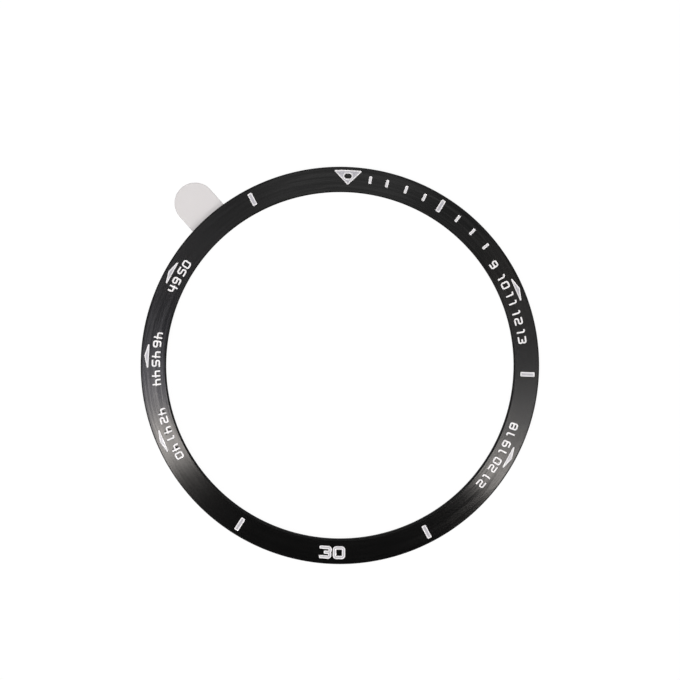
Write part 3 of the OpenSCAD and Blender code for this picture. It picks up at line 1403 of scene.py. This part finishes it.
@dataclass
class ReleaseLiner:
    """The release film: one sheet with its pull tab, bending where it leaves the ring, in millimetres."""

    inner_r: float = 20.4
    outer_r: float = 23.15
    bottom: float = -0.25
    thickness: float = 0.1
    tab_w: float = 4.8
    tab_tip: float = 27.81
    tab_angle: float = 316
    fold_r: float = 23.6
    fold_length: float = 0.3
    curl: float = 0.06
    soft: float = 0.02
    soft_label: float = 0.6
    insets: tuple[float, ...] = (0.5, 1.0, 1.3)
    first_inset: float = 0.08
    side_step: float = 0.04
    tip_points: int = 49
    row_step: float = 0.06
    row_inset: float = 0.3
    row_points: int = 13
    rows_before_fold: float = 0.4
    curl_from: float = 0.2
    circles: int = 5
    turns: int = 360

    def outline(self, inset: float) -> Loop:
        """Draws the outer edge of the sheet with the tab at twelve o'clock.

        Args:
            inset: How far the edge is drawn in.

        Returns:
            The edge's points in order.
        """
        half = self.tab_w / 2 - inset
        radius = self.outer_r - inset
        tip_y = self.tab_tip - self.tab_w / 2
        root = math.asin(half / radius)
        ends = np.linspace(0, math.pi, self.tip_points)
        round_end = [(half * math.cos(a), tip_y + half * math.sin(a)) for a in ends]
        steps = np.arange(radius * math.cos(root) + self.side_step, tip_y, self.side_step)
        angles = np.linspace(root, 2 * math.pi - root, self.turns)
        arc = [(radius * math.sin(a), radius * math.cos(a)) for a in angles[::-1]]
        return np.array([*((half, y) for y in steps), *round_end, *((-half, y) for y in steps[::-1]), *arc])

    def net(self) -> tuple[Points, Points, Points, list[Points]]:
        """Nets the sheet with the tab at twelve o'clock.

        Returns:
            Flat points, how near each is to a cut edge, triangles, and the point numbers of its two edges.
        """
        sheet = Sheet()
        for inset, label in ((self.soft, self.soft_label), (0.0, 1)):
            rims = [sheet.add(row, label, True) for row in (self.outline(inset), self.around(inset))]
        near_edge = self.outline(self.first_inset), self.around(self.first_inset)
        for row in (*near_edge, *map(self.outline, self.insets)):
            sheet.add(row, 0, False)
        half = self.tab_w / 2 - self.row_inset
        across = np.linspace(-half, half, self.row_points)
        first, last = self.fold_r - self.rows_before_fold, self.tab_tip - self.tab_w / 2
        for y in np.arange(first, last, self.row_step):
            sheet.add(np.column_stack([across, np.full(self.row_points, y)]), 0, False)
        for radius in np.linspace(self.inner_r, self.outer_r, self.circles + 2)[1:-1]:
            sheet.add(circle(float(radius), self.turns), 0, False)
        flat, edge, faces, edges = sheet.triangles(rims)
        faces = uncovered(faces, edges[1])
        middles = flat[faces].mean(axis=1)
        radius = np.hypot(middles[:, 0], middles[:, 1])
        on_tab = np.abs(middles[:, 0]) < self.tab_w / 2
        within = (radius > self.inner_r) & ((radius < self.outer_r) | on_tab)
        outline = self.outline(0)
        kept = [k for k in np.flatnonzero(within) if polygon_distance(middles[k : k + 1], outline)[0] < 0]
        return flat, edge, faces[kept], edges

    def around(self, inset: float) -> Loop:
        """Edge of the hole, drawn in by inset."""
        return circle(self.inner_r + inset, self.turns)

    def build(self, finishes: Finishes) -> Object:
        """Builds the sheet and bends it across the fold.

        Args:
            finishes: The part's materials.

        Returns:
            The sheet, which stands for the liner and its tab.
        """
        flat, edge, net, edges = self.net()
        count = len(flat)
        lift = np.where(np.isin(np.arange(count), np.concatenate(edges)), self.soft, 0)
        past = np.clip((flat[:, 1] - self.fold_r - self.fold_length) / (self.tab_tip - self.fold_r), 0, 1)
        outside = np.hypot(flat[:, 0], flat[:, 1]) > self.outer_r + self.curl_from
        bow = self.curl * np.where(outside, past, 0) ** 2
        placed = turned(flat, self.tab_angle)
        low = np.column_stack([placed, self.bottom + lift + bow])
        high = np.column_stack([placed, self.bottom + self.thickness - lift + bow])
        faces = slab(net, edges, count)
        used = sorted({v for f in faces for v in f})
        renumber = {old: new for new, old in enumerate(used)}
        faces = [tuple(renumber[v] for v in f) for f in faces]
        piece = new_piece("liner_sheet", np.vstack([low, high])[used], faces, crease=60)
        recalculate(piece)
        store(piece, "edge", np.concatenate([edge, edge])[used])
        dress(piece, finishes.film)
        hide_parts("release_liner", "pull_tab")
        along = turned(np.array([[0.0, 1.0]]), self.tab_angle)[0]
        middle = self.bottom + self.thickness / 2
        fold = self.fold_r, self.fold_r + self.fold_length
        ends = [(along[0] * r * MM, along[1] * r * MM, middle * MM) for r in fold]
        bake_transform(piece, Body.LINER.value, Body.TAB.value, start=ends[0], end=ends[1])
        return piece


@dataclass(frozen=True)
class PhotoCamera:
    """The camera of the photograph, looking down on the ring."""

    distance: float = 0.300
    lean_up: float = math.radians(4.3)
    lean_right: float = math.radians(-0.3)
    turn: float = math.radians(2.4)
    pixels_per_metre: float = 8584
    drop: float = 26.8
    frame_pixels: int = 680
    sensor: float = 36.0

    def build(self, target: Vector) -> Object:
        """Makes the camera.

        Args:
            target: Middle of the ring's face.

        Returns:
            The camera, made the scene's own.
        """
        up = Vector((-math.sin(self.turn), math.cos(self.turn), 0))
        right = Vector((up.y, -up.x, 0))
        tilt = right * math.sin(self.lean_right) + up * math.sin(self.lean_up)
        back = (tilt + Vector((0, 0, math.sqrt(1 - tilt.length_squared)))).normalized()
        eye = target + back * self.distance
        aim = target + up * (self.drop / self.pixels_per_metre)
        look = (eye - aim).normalized()
        side = up.cross(look).normalized()
        data = bpy.data.cameras.new("photo_camera")
        data.sensor_width = self.sensor
        data.lens = self.sensor * self.pixels_per_metre * self.distance / self.frame_pixels
        data.clip_start, data.clip_end = 0.01, 50
        camera = linked("photo_camera", data)
        turned_to = Matrix((side, look.cross(side), look)).transposed().to_4x4()
        camera.matrix_world = Matrix.Translation(eye) @ turned_to
        bpy.context.scene.camera = camera
        return camera


WARM: Colour = (1.0, 0.955, 0.91)
COOL: Colour = (0.82, 0.82, 1.0)
WHITE = (1, 1, 1, 1)


@dataclass(frozen=True)
class Softbox:
    """A soft lamp as the ring sees it: its place and size on the sky in degrees, and its brightness."""

    name: str
    azimuth: float
    wide: float
    radiance: float
    tint: Colour = (1, 1, 1)
    elevation: float = 64
    high: float = 30
    distance: float = 0.9

    def build(self, turn: float) -> Object:
        """Makes the lamp.

        Args:
            turn: Angle from the frame's twelve o'clock to the photograph's, in radians.

        Returns:
            The lamp.
        """
        a, e = math.radians(self.azimuth) - turn, math.radians(self.elevation)
        way = Vector((math.sin(a) * math.cos(e), math.cos(a) * math.cos(e), math.sin(e)))
        data = bpy.data.lights.new(self.name, "AREA")
        data.shape = "RECTANGLE"
        data.size = 2 * self.distance * math.tan(math.radians(self.wide) / 2)
        data.size_y = 2 * self.distance * math.tan(math.radians(self.high) / 2)
        data.energy = self.radiance * math.pi * data.size * data.size_y
        data.color = self.tint
        lamp = linked(self.name, data)
        lamp.visible_camera = False
        lamp.location = way * self.distance
        lamp.rotation_euler = way.to_track_quat("Z", "Y").to_euler()
        return lamp


@dataclass
class Studio:
    """White floor and backdrop, lamps, and a dim room above."""

    turn: float
    floor_z: float
    radius: float = 3.0
    top: float = 1.6
    sides: int = 96
    room: float = 0.062
    lamps: tuple[Softbox, ...] = (
        Softbox("strip_left", 236, 4, 18.6, WARM),
        Softbox("strip_left_glow", 235, 6, 8.2, WARM),
        Softbox("shoulder_left", 247, 10, 1.6, WARM),
        Softbox("shoulder_far_left", 254.2, 8, 4.3, COOL),
        Softbox("panel_left", 290, 14, 0.56, COOL),
        Softbox("panel_upper_left", 322, 14, 1.0),
        Softbox("panel_top", 2, 20, 1.84),
        Softbox("panel_upper_right", 42, 14, 0.85),
        Softbox("panel_right", 113.5, 9, 2.65),
        Softbox("strip_right", 131.2, 4, 21.0, WARM),
        Softbox("panel_below", 0, 120, 1.2, elevation=-90, high=120),
    )

    def seen_white(self, name: str, glow: float, shade: float) -> Material:
        """Makes a white that fills the background and keeps a shadow.

        Args:
            name: Name of the material.
            glow: Brightness that the camera and mirrors see with no light on it.
            shade: Share of the light on it that the camera sees.

        Returns:
            The material, which shows from its front only.
        """
        material = bpy.data.materials.new(name)
        material.use_nodes = True
        graph = Graph(material.node_tree)
        path = graph.node("ShaderNodeLightPath").outputs
        mirrored = graph.math("MAXIMUM", path["Is Glossy Ray"], path["Is Transmission Ray"])
        seen = graph.math("MAXIMUM", path["Is Camera Ray"], mirrored)
        plain = graph.node("ShaderNodeBsdfDiffuse", {"Color": (0.8, 0.8, 0.8, 1)}).outputs[0]
        faint = graph.node("ShaderNodeBsdfDiffuse", {"Color": (shade, shade, shade, 1)}).outputs[0]
        glowing = graph.node("ShaderNodeEmission", {"Color": WHITE, "Strength": glow}).outputs[0]
        both = graph.node("ShaderNodeAddShader", {0: faint, 1: glowing}).outputs[0]
        front = graph.node("ShaderNodeMixShader", {0: seen, 1: plain, 2: both}).outputs[0]
        clear = graph.node("ShaderNodeBsdfTransparent").outputs[0]
        behind = graph.node("ShaderNodeNewGeometry").outputs["Backfacing"]
        came_through = graph.math("GREATER_THAN", path["Transparent Depth"], 0.5)
        hidden = graph.math("MAXIMUM", behind, graph.times(path["Is Shadow Ray"], came_through))
        surface = graph.node("ShaderNodeMixShader", {0: hidden, 1: front, 2: clear})
        graph.node("ShaderNodeOutputMaterial", {"Surface": surface.outputs[0]})
        return material

    def row(self, z: float) -> list[tuple[float, float, float]]:
        """Points round the studio's wall at height z, in metres."""
        angles = [2 * math.pi * k / self.sides for k in range(self.sides)]
        return [(self.radius * math.cos(a), self.radius * math.sin(a), z) for a in angles]

    def build(self) -> None:
        """Makes the floor, the backdrop, the lamps and the world."""
        low, high = self.row(self.floor_z), self.row(self.top)
        below = range(self.sides)
        above = range(self.sides, 2 * self.sides)
        for name, points, faces, glow, shade in (
            ("floor", low, [tuple(below)], 0.96, 0.06),
            ("backdrop", low + high, band(below, above), 1.0, 0.0),
        ):
            mesh = bpy.data.meshes.new(name)
            mesh.from_pydata(points, [], faces)
            mesh.materials.append(self.seen_white(f"white_{name}", glow, shade))
            thing = linked(name, mesh)
        for lamp in self.lamps:
            lamp.build(self.turn)
        world = bpy.data.worlds.new("room")
        world.use_nodes = True
        graph = Graph(world.node_tree)
        path = graph.node("ShaderNodeLightPath").outputs
        seen = graph.math("MAXIMUM", path["Is Camera Ray"], path["Is Transmission Ray"])
        strength = graph.spread(seen, self.room, 1.0)
        sky = graph.node("ShaderNodeBackground", {"Color": WHITE, "Strength": strength})
        graph.node("ShaderNodeOutputWorld", {"Surface": sky.outputs[0]})
        bpy.context.scene.world = world


def main() -> None:
    """Builds the part and its studio."""
    logging.basicConfig(level=logging.INFO, format="%(message)s")
    bpy.context.scene.view_settings.view_transform = "Standard"
    finishes = Finishes()
    ring = BezelRing()
    track = MinuteTrack(ring).marks()
    numbers = Numbers(ring).marks()
    ring.build([*track.values(), *(mark for marks in numbers.values() for mark in marks)], finishes)
    fill = EnamelFill(ring)
    for node, mark in track.items():
        fill.build(f"enamel_{node}", [mark], finishes, node)
    for name, marks in numbers.items():
        fill.build(name, marks, finishes, None)
    for layer in Tape(finishes).dress():
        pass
    ReleaseLiner().build(finishes)
    camera = PhotoCamera()
    camera.build(Vector((0, 0, ring.thickness * MM)))
    Studio(turn=camera.turn, floor_z=CAD_BOX[0].z - FLOOR_GAP).build()


if __name__ == "__main__":
    main()
